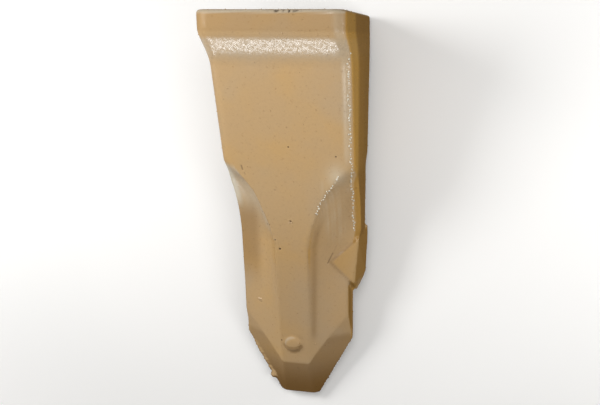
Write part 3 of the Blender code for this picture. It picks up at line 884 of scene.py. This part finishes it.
def surfaceTree(inputs):
    graph, given = startTree("castSurface", inputs)
    where = graph.node("GeometryNodeInputPosition")
    normal = graph.node("GeometryNodeInputNormal")
    lift = 0.0
    for kind in ("Wave", "Grain"):
        ripple = graph.noise(where, 1 / given[kind + " Size"], given["Detail"]) - 0.5
        lift = ripple * given[kind + " Height"] + lift
    offset = graph.node("ShaderNodeVectorMath", {"operation": "SCALE"}, {0: normal, "Scale": lift})
    shaped = graph.node("GeometryNodeSetPosition", {}, {"Geometry": given["Geometry"], "Offset": offset})
    return endTree(graph, shaped, given["Paint"])


# Placing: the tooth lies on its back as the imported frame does

def restingPlace(solid):  # turned onto its back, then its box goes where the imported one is
    drop = tooth["collarHeight"] / 2 - tooth["ribEndHeight"]
    angle = math.atan2(drop, tooth["ribEnd"] - tooth["collarFlat"])
    turn = Matrix.Rotation(angle, 4, "X") @ Matrix.Scale(mm, 4)
    points = [turn @ vertex.co for vertex in solid.data.vertices]
    low, high = (Vector([edge(point[axis] for point in points) for axis in range(3)]) for edge in (min, max))
    where = (cadLow + cadHigh - low - high) / 2
    where.z = cadLow.z - low.z
    return Matrix.Translation(where) @ turn


def layDown(item, resting):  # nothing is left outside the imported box
    item.data.transform(resting)
    movePoints(item, np.clip(pointsOf(item)[0], np.array(cadLow), np.array(cadHigh)))


# Ochre dip paint over the cast skin. A noise is its scale per metre, detail and roughness, and a band is
# where a mask starts and where it is full.

paint = {
    "base": (0.450, 0.300, 0.152, 1), "warm": (0.480, 0.304, 0.130, 1), "cool": (0.425, 0.302, 0.176, 1),
    # Of these colours the two darkest are painted shade, the palest is painted highlight and the deepest
    # yellow stands for a lit face
    "thin": (0.300, 0.165, 0.055, 1), "worn": (0.168, 0.086, 0.022, 1), "darkening": (0.035, 0.022, 0.014, 1),
    "bloom": (0.600, 0.545, 0.430, 1), "amber": (0.500, 0.265, 0.035, 1),
    "roughness": 0.46, "IOR": 1.2, "coatRoughness": 0.22, "coatIOR": 2.1,
    "cloud": (9.0, 3.0, 0.5), "cloudBand": (0.35, 0.65), "drift": (23.0, 4.0, 0.5), "driftBand": (0.3, 0.7),
    "fleck": (320.0, 3.0, 0.6), "fleckBand": (0.60, 0.78), "fleckShare": 0.45, "grain": (760.0, 2.0, 0.55),
    "poreScale": 170.0, "poreBand": (0.10, 0.20), "poreRarity": (0.985, 0.990), "poreShade": 0.8,
    "markShadeBand": (0.1, 0.8), "markShadeShare": 0.9, "speckleBand": (0.40, 0.58), "speckleFloor": 0.25,
}
roughening = {"fleckBand": (0.4, 0.75), "fleck": 0.12, "dirt": 0.3, "inShade": 0.2, "gloss": 0.10}
relief = {"fleck": 0.5, "grain": 0.35, "pore": 0.9, "strength": 0.30, "depth": 0.0006}


def poreMask(graph, where):  # a few round pores, 1 in the middle of each
    cells = {"Vector": where, "Scale": paint["poreScale"]}
    away = graph.node("ShaderNodeTexVoronoi", {}, cells)
    chance = graph.node("ShaderNodeTexVoronoi", {}, cells, output=1)
    rare = graph.band(graph.node("ShaderNodeSeparateColor", {}, {0: chance}), *paint["poreRarity"])
    return (1 - graph.band(away, *paint["poreBand"])) * rare


def ochrePaint():
    material, graph, shader = newMaterial("ochrePaint")
    where = graph.node("ShaderNodeTexCoord", output="Object")
    cloud, drift = graph.noise(where, *paint["cloud"]), graph.noise(where, *paint["drift"])
    fleck, grain = graph.noise(where, *paint["fleck"]), graph.noise(where, *paint["grain"])
    pore = poreMask(graph, where)
    shaded, gloss = graph.attribute("worn"), graph.attribute("gloss")
    # Painted shade in the marks, with the pores darkened too
    dark = graph.band(graph.attribute("dirt") + pore * paint["poreShade"], *paint["markShadeBand"])
    # Over the ochre: flecks of thin paint, then painted highlight, painted lit yellow, painted shade, and
    # painted shade in the marks and pores
    layers = (
        (graph.band(fleck, *paint["fleckBand"]) * paint["fleckShare"], "thin"),
        (graph.attribute("bloom"), "bloom"), (graph.attribute("amber"), "amber"), (shaded, "worn"),
        (dark * paint["markShadeShare"], "darkening"))
    colour = graph.blendColour(graph.band(cloud, *paint["cloudBand"]), paint["warm"], paint["cool"])
    colour = graph.blendColour(graph.band(drift, *paint["driftBand"]), paint["base"], colour)
    for share, name in layers:
        colour = graph.blendColour(share, colour, paint[name])
    flecks = graph.band(fleck, *roughening["fleckBand"]) * roughening["fleck"]
    rough = paint["roughness"] + flecks + dark * roughening["dirt"] + shaded * roughening["inShade"]
    rough = rough - gloss * roughening["gloss"]
    floor = paint["speckleFloor"]
    coat = gloss * (floor + graph.band(fleck, *paint["speckleBand"]) * (1 - floor)) * (1 - dark)
    height = fleck * relief["fleck"] + grain * relief["grain"] - pore * relief["pore"]
    bump = graph.node("ShaderNodeBump", {},
                      {"Strength": relief["strength"], "Distance": relief["depth"], "Height": height})
    graph.fill(shader, {
        "Base Color": colour, "Roughness": rough, "Coat Weight": coat, "Normal": bump,
        "IOR": paint["IOR"], "Coat Roughness": paint["coatRoughness"], "Coat IOR": paint["coatIOR"]})
    return material


# Paint beads along the rough right-hand edge, and fine grit scattered under the paint

beads = {"Smallest": 0.5, "Largest": 1.5, "Spacing": 2.6, "Fineness": 2, "Seed": 4}
beadStray = (1.6, 1.2, 1.6)  # how far a bead may lie from its line
specks = {"Smallest": 0.25, "Largest": 0.8, "Gap": 7.0, "Density": 0.02, "Fineness": 1, "Seed": 11}
frontEdge = {"from": 46, "to": 252, "step": 5, "inset": 4, "leavesPanel": 158, "leavingLength": 40}
scallopEdge = {"from": 177, "to": 226, "step": 3}


def linePoints(graph, given, skin):  # spaced along the line, shaken, and set down on the skin
    line = {"Curve": given["Geometry"], "Length": given["Spacing"]}
    points = graph.node("GeometryNodeCurveToPoints", {"mode": "LENGTH"}, line)
    stray = {0: tuple(-reach for reach in beadStray), 1: beadStray, "Seed": given["Seed"]}
    shake = graph.node("FunctionNodeRandomValue", {"data_type": "FLOAT_VECTOR"}, stray)
    points = graph.node("GeometryNodeSetPosition", {}, {"Geometry": points, "Offset": shake})
    onSkin = graph.node("GeometryNodeProximity", {"target_element": "FACES"}, {"Geometry": skin})
    return graph.node("GeometryNodeSetPosition", {}, {"Geometry": points, "Position": onSkin})


def skinPoints(graph, given, skin):
    return graph.node("GeometryNodeDistributePointsOnFaces", {"distribute_method": "POISSON"}, {
        "Mesh": skin, "Distance Min": given["Gap"], "Density Max": given["Density"], "Seed": given["Seed"]})


def beadTree(name, inputs, pointsFrom):
    graph, given = startTree(name, inputs)
    casting = {"Object": given["Casting"]}
    skin = graph.node("GeometryNodeObjectInfo", {"transform_space": "RELATIVE"}, casting, "Geometry")
    points = pointsFrom(graph, given, skin)
    sizes = {2: given["Smallest"], 3: given["Largest"], "Seed": given["Seed"]}
    size = graph.node("FunctionNodeRandomValue", {"data_type": "FLOAT"}, sizes, output=1)
    bead = graph.node("GeometryNodeMeshIcoSphere", {}, {"Radius": 1.0, "Subdivisions": given["Fineness"]})
    rounded = graph.node("GeometryNodeSetShadeSmooth", {}, {"Geometry": bead})
    copies = {"Points": points, "Instance": rounded, "Scale": size}
    return endTree(graph, graph.node("GeometryNodeInstanceOnPoints", {}, copies), given["Paint"])


def edgeLine():  # the right front edge from the collar to the feeder stub, and the scallop's edge
    line = bpy.data.curves.new("edgeLine", "CURVE")
    line.dimensions = "3D"
    front = []
    for station in range(frontEdge["from"], frontEdge["to"], frontEdge["step"]):
        out = ease((station - frontEdge["leavesPanel"]) / frontEdge["leavingLength"])
        x = mix(wallHalfWidth(station, 1) - frontEdge["inset"], edgeHalfWidth(station, 1), out)
        z = mix(panelHeight(station) - frontEdge["inset"], edgeHeight(station, 1), out)
        front.append((x, station, z))
    stations = range(scallopEdge["from"], scallopEdge["to"], scallopEdge["step"])
    scallop = [(panelHalfWidth(station, 1), station, panelHeight(station)) for station in stations]
    for run in (front, scallop):
        spline = line.splines.new("POLY")
        spline.points.add(len(run) - 1)
        for point, corner in zip(spline.points, run):
            point.co = (*place(*corner), 1)
    return addObject("edgeLine", line)


def beadRow(casting, material):
    item = edgeLine()
    inputs = dict(beads, Casting=casting, Paint=material)
    addTree(item, beadTree("beadRow", inputs, linePoints), inputs)
    data = evaluatedMesh(item)
    line = item.data
    bpy.data.objects.remove(item)
    bpy.data.curves.remove(line)
    return addObject("edgeBeads", data)


def scatteredSpecks(casting, material):
    item = addObject("castSpecks", bpy.data.meshes.new("castSpecks"))
    inputs = dict(specks, Casting=casting, Paint=material)
    addTree(item, beadTree("scatteredSpecks", inputs, skinPoints), inputs)
    return settled(item)


# Build

casting, resting = castingShape()
paintMaterial = ochrePaint()
refineNear(casting)
pressMarks(casting)
surface = dict(castSurface, Paint=paintMaterial)
addTree(casting, surfaceTree(surface), surface)
settled(casting)
print("shape: finished skin of", sum(len(p.vertices) - 2 for p in casting.data.polygons), "triangles")
row = beadRow(casting, paintMaterial)
grit = scatteredSpecks(casting, paintMaterial)
# The beads take the full painted highlight colour
coatFields(row, bead=True)
coatFields(grit)
for piece in (casting, row, grit):
    piece.data.materials.clear()  # Realize Instances leaves an empty first slot
    piece.data.materials.append(paintMaterial)
    layDown(piece, resting)
    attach(piece, "root")
    print("piece:", piece.name, "of", len(piece.data.polygons), "faces")
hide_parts("bucket_tooth")


# Floor, light and camera

studio = {
    "floor": (0.93, 0.92, 0.90, 1), "bounce": (0.12, 0.115, 0.11, 1), "mirrored": (0.50, 0.50, 0.49, 1),
    "shade": (0.03, 0.03, 0.03, 1), "shadeBand": (0.0, 0.11), "room": (0.16, 0.16, 0.16, 1),
    "backdrop": (0.84, 0.83, 0.82, 1), "distance": (0.70, 0.69, 0.68, 1), "fadeBand": (0.35, 1.3),
    "floorHalfWidth": 3.0, "floorRoughness": 0.9,
}

# Place, aim, width, height and power of each lamp, in metres and watts
lamps = {
    "keyLamp": ((-0.54, 0.24, 0.68), (0.0, 0.07, 0.10), 0.32, 0.32, 4.25),
    "topLamp": ((0.14, 0.28, 0.95), (0.0, 0.11, 0.10), 0.40, 0.40, 2.65),
    "sideLamp": ((0.50, -0.10, 0.68), (0.07, 0.10, 0.18), 0.28, 0.36, 1.7),
    "fillLamp": ((0.80, 0.12, 0.15), (0.08, 0.10, 0.12), 0.30, 0.20, 2.2),
    "leftLamp": ((-0.85, 0.16, 0.34), (-0.06, 0.06, 0.12), 0.50, 0.22, 1.0),
    "lowLamp": ((-0.34, -1.15, 0.255), (0.0, 0.20, 0.18), 1.30, 0.08, 3.2),
}
view = {"place": (0.18402, 0.05232, 0.83971), "turn": (-3.0384, 13.2340, 1.2715), "lens": 39.17,
        "sensor": 36, "nearest": 0.01}


def floorPlane():
    mesh = bmesh.new()
    bmesh.ops.create_grid(mesh, x_segments=2, y_segments=2, size=studio["floorHalfWidth"])
    floor = newObject("floor", mesh)
    material, graph, shader = newMaterial("floorPaper")
    where = graph.node("ShaderNodeTexCoord", output="Object")
    seen = graph.node("ShaderNodeLightPath", output="Is Camera Ray")
    glossy = graph.node("ShaderNodeLightPath", output="Is Glossy Ray")
    across = graph.band(graph.node("ShaderNodeSeparateXYZ", {}, {0: where}), *studio["shadeBand"])
    mirrored = graph.blendColour(across, studio["mirrored"], studio["shade"])  # a dark card towards +X
    tone = graph.blendColour(glossy, studio["bounce"], mirrored)
    tone = graph.blendColour(seen, tone, studio["floor"])
    away = graph.node("ShaderNodeVectorMath", {"operation": "LENGTH"}, {0: where}, output=1)
    pale = graph.band(away, *studio["fadeBand"]) * seen  # keeps the far floor pale and lights nothing
    glow = graph.blendColour(pale, (0, 0, 0, 1), studio["distance"])
    graph.fill(shader, {"Base Color": tone, "Roughness": studio["floorRoughness"],
                        "Emission Color": glow, "Emission Strength": 1.0})
    floor.data.materials.append(material)


def addLamp(name, where, target, width, height, power):
    lamp = bpy.data.lights.new(name, "AREA")
    lamp.shape = "RECTANGLE"
    lamp.size = width
    lamp.size_y = height
    lamp.energy = power
    item = addObject(name, lamp)
    item.location = where
    item.rotation_euler = (Vector(target) - Vector(where)).to_track_quat("-Z", "Y").to_euler()


def addCamera():
    data = bpy.data.cameras.new("photoCamera")
    data.lens = view["lens"]
    data.sensor_width = view["sensor"]
    data.clip_start = view["nearest"]
    item = addObject("photoCamera", data)
    item.location = view["place"]
    item.rotation_euler = [math.radians(angle) for angle in view["turn"]]
    bpy.context.scene.camera = item


def setWorld():
    world = bpy.data.worlds.new("softRoom")
    world.use_nodes = True
    graph = Graph(world.node_tree)
    seen = graph.node("ShaderNodeLightPath", output="Is Camera Ray")
    tone = graph.blendColour(seen, studio["room"], studio["backdrop"])
    graph.fill(world.node_tree.nodes["Background"], {"Color": tone})
    bpy.context.scene.world = world


floorPlane()
for name, values in lamps.items():
    addLamp(name, *values)
addCamera()
setWorld()
bpy.context.scene.view_settings.view_transform = "Standard"
print("studio: floor, lamps and camera")
